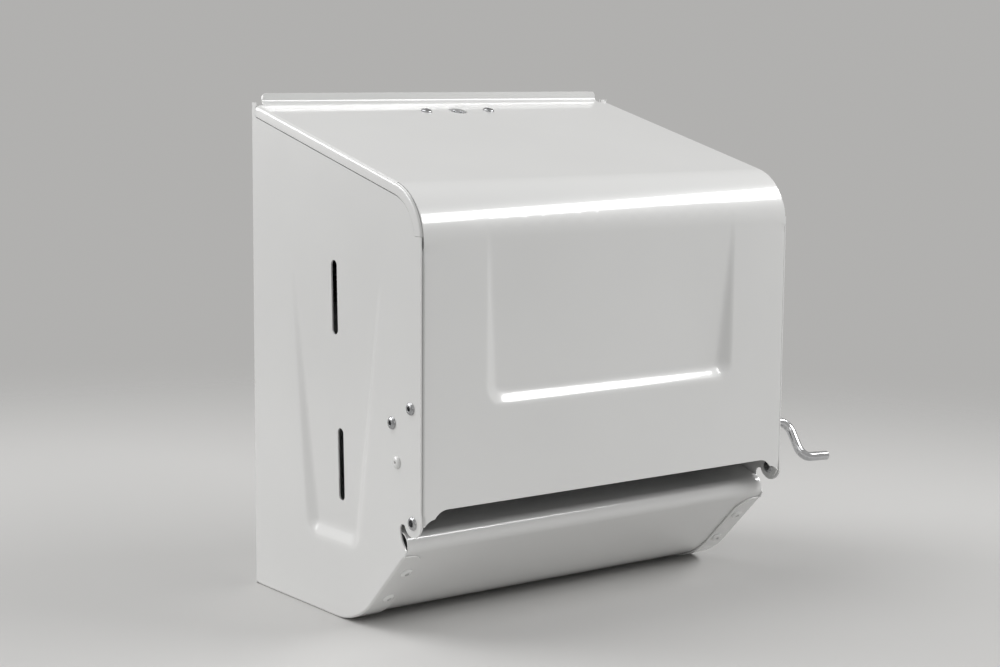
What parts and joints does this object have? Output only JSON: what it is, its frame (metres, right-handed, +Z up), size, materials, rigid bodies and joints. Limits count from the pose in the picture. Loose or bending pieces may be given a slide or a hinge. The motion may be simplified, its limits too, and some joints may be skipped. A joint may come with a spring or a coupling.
{
  "type": "lever paper towel dispenser",
  "caption": "Enamelled steel wall cabinet for rolled paper towels, with a drop-down locking cover, a slot over a rolled tray and a side push lever that feeds the paper.",
  "frame": {"origin": "on the wall plane at the back's outside face, in the middle of the width, level with the cabinet's flat bottom", "axes": "+X to the right seen from the front, +Y into the wall, +Z up"},
  "size_m": [0.3556, 0.193, 0.3227],
  "materials": {
    "white_enamel": "gloss",
    "zinc_steel": "satin",
    "chrome": "polished",
    "grey_rubber": "matte",
    "grey_plastic": "satin",
    "white_plastic": "satin"
  },
  "bodies": {
    "cabinet": {"cabinet_shell": "white_enamel", "discharge_tray": "white_enamel", "bracket_rivets": "zinc_steel", "bracket_pop_rivets": "white_enamel", "hinge_pins": "zinc_steel", "tray_rivets": "white_enamel", "bearing_bracket_left": "zinc_steel", "bearing_bracket_right": "zinc_steel", "feed_bushes": "white_plastic", "pressure_bushes": "white_plastic", "pressure_springs": "zinc_steel", "spring_rivets": "zinc_steel", "lever_bush": "grey_plastic", "return_spring": "zinc_steel", "tear_bar": "zinc_steel", "tear_bar_rivets": "zinc_steel", "roll_arm_left": "zinc_steel", "roll_arm_right": "zinc_steel", "hub_rivets": "zinc_steel", "latch_strike": "zinc_steel", "back_rivets": "zinc_steel"},
    "cover": {"front_cover": "white_enamel", "lock_case": "zinc_steel", "lock_rivets": "zinc_steel"},
    "lock": {"lock_barrel": "chrome", "lock_cam": "zinc_steel"},
    "lever": {"lever_rod": "chrome", "sector_gear": "zinc_steel", "lever_clips": "zinc_steel"},
    "feed": {"feed_shaft": "zinc_steel", "feed_roller_core": "grey_plastic", "feed_roller_sleeves": "grey_rubber", "drive_pinion": "white_plastic", "one_way_clutch": "zinc_steel"},
    "pressure": {"pressure_shaft": "zinc_steel", "pressure_roller": "grey_plastic"},
    "hub_left": {"core_hub_left": "grey_plastic"},
    "hub_right": {"core_hub_right": "grey_plastic"}
  },
  "joints": [
    {"name": "cover_open", "type": "hinge", "parent": "cabinet", "child": "cover", "pos_m": [0, -0.1841, 0.0754], "axis": [1, 0, 0], "range_deg": [0, 100]},
    {"name": "key_turn", "type": "hinge", "parent": "cover", "child": "lock", "pos_m": [0, -0.0245, 0.3106], "axis": [0, -0.2453, 0.9694], "range_deg": [-90, 0]},
    {"name": "lever_push", "type": "hinge", "parent": "cabinet", "child": "lever", "pos_m": [0, -0.1608, 0.099], "axis": [1, 0, 0], "range_deg": [0, 75], "stiffness_Nm_per_rad": 0.12, "springref_deg": -28.65},
    {"name": "feed_turn", "type": "hinge", "parent": "cabinet", "child": "feed", "pos_m": [0, -0.13778, 0.12368], "axis": [1, 0, 0], "range_deg": [-262.5, 0]},
    {"name": "pressure_turn", "type": "hinge", "parent": "cabinet", "child": "pressure", "pos_m": [0, -0.11865, 0.11029], "axis": [1, 0, 0], "range_deg": [0, 492.19]},
    {"name": "hub_left_spin", "type": "hinge", "parent": "cabinet", "child": "hub_left", "pos_m": [-0.0945, -0.088, 0.205], "axis": [1, 0, 0], "continuous": true},
    {"name": "hub_right_spin", "type": "hinge", "parent": "cabinet", "child": "hub_right", "pos_m": [0.0945, -0.088, 0.205], "axis": [1, 0, 0], "continuous": true}
  ],
  "couplings": [
    {"joint": "feed_turn", "follows": "lever_push", "ratio": -3.5},
    {"joint": "pressure_turn", "follows": "lever_push", "ratio": 6.5625}
  ]
}
